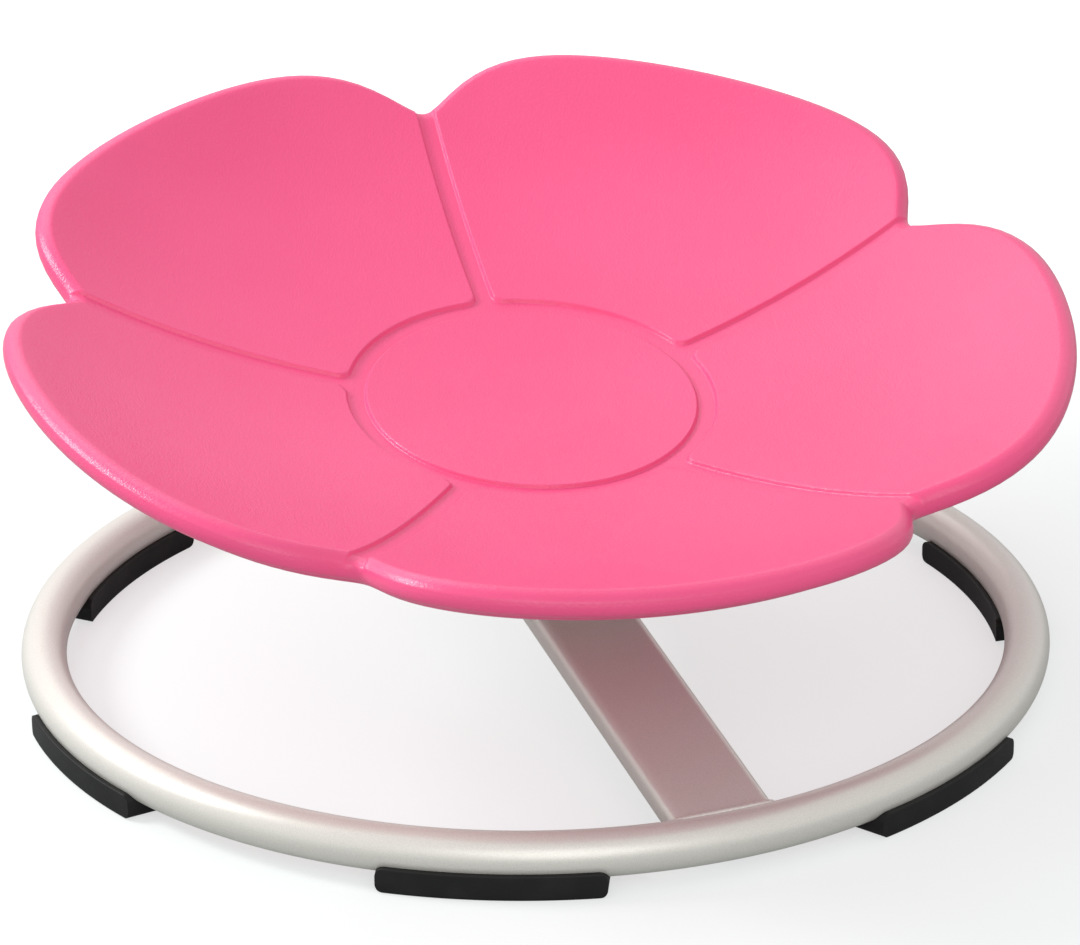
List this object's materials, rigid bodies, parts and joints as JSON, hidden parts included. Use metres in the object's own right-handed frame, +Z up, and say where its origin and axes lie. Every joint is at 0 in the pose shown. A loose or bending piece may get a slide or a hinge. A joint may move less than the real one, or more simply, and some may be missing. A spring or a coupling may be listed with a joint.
{
  "type": "toddler spinning seat",
  "caption": "Low dish seat with a moulded flower shape that spins freely on a leaning ball-bearing hub, carried by a bent bar across a round tube ring on rubber foot pads.",
  "frame": {"origin": "on the floor, under the middle of the whole outline", "axes": "+Z up; the cross bar lies along Y and the seat leans toward -Y, the front"},
  "size_m": [0.5118, 0.5127, 0.2354],
  "materials": {
    "frame_paint": "satin",
    "bright_steel": "satin",
    "seat_plastic": "satin",
    "pad_rubber": "matte",
    "cage_plastic": "matte",
    "insert_brass": "satin"
  },
  "bodies": {
    "base": {"base_ring": "frame_paint", "cross_bar": "frame_paint", "spindle": "bright_steel", "lower_inner_race": "bright_steel", "race_spacer": "bright_steel", "upper_inner_race": "bright_steel", "hub_washer": "bright_steel", "hub_nut": "bright_steel", "foot_pad_1": "pad_rubber", "foot_pad_2": "pad_rubber", "foot_pad_3": "pad_rubber", "foot_pad_4": "pad_rubber", "foot_pad_5": "pad_rubber", "foot_pad_6": "pad_rubber", "foot_screws": "bright_steel"},
    "seat": {"seat_shell": "seat_plastic", "seat_inserts": "insert_brass", "seat_plate": "frame_paint", "seat_bolts": "bright_steel", "bolt_washers": "bright_steel", "hub_housing": "frame_paint", "lower_outer_race": "bright_steel", "upper_outer_race": "bright_steel"},
    "ball_sets": {"lower_balls": "bright_steel", "lower_cage": "cage_plastic", "upper_balls": "bright_steel", "upper_cage": "cage_plastic"}
  },
  "joints": [
    {"name": "seat_spin", "type": "hinge", "parent": "base", "child": "seat", "pos_m": [0, 0.01711, 0.06868], "axis": [0, -0.1702, 0.9854], "continuous": true},
    {"name": "ball_roll", "type": "hinge", "parent": "base", "child": "ball_sets", "pos_m": [0, 0.01711, 0.06868], "axis": [0, -0.1702, 0.9854], "continuous": true}
  ],
  "couplings": [
    {"joint": "ball_roll", "follows": "seat_spin", "ratio": 0.59649}
  ]
}
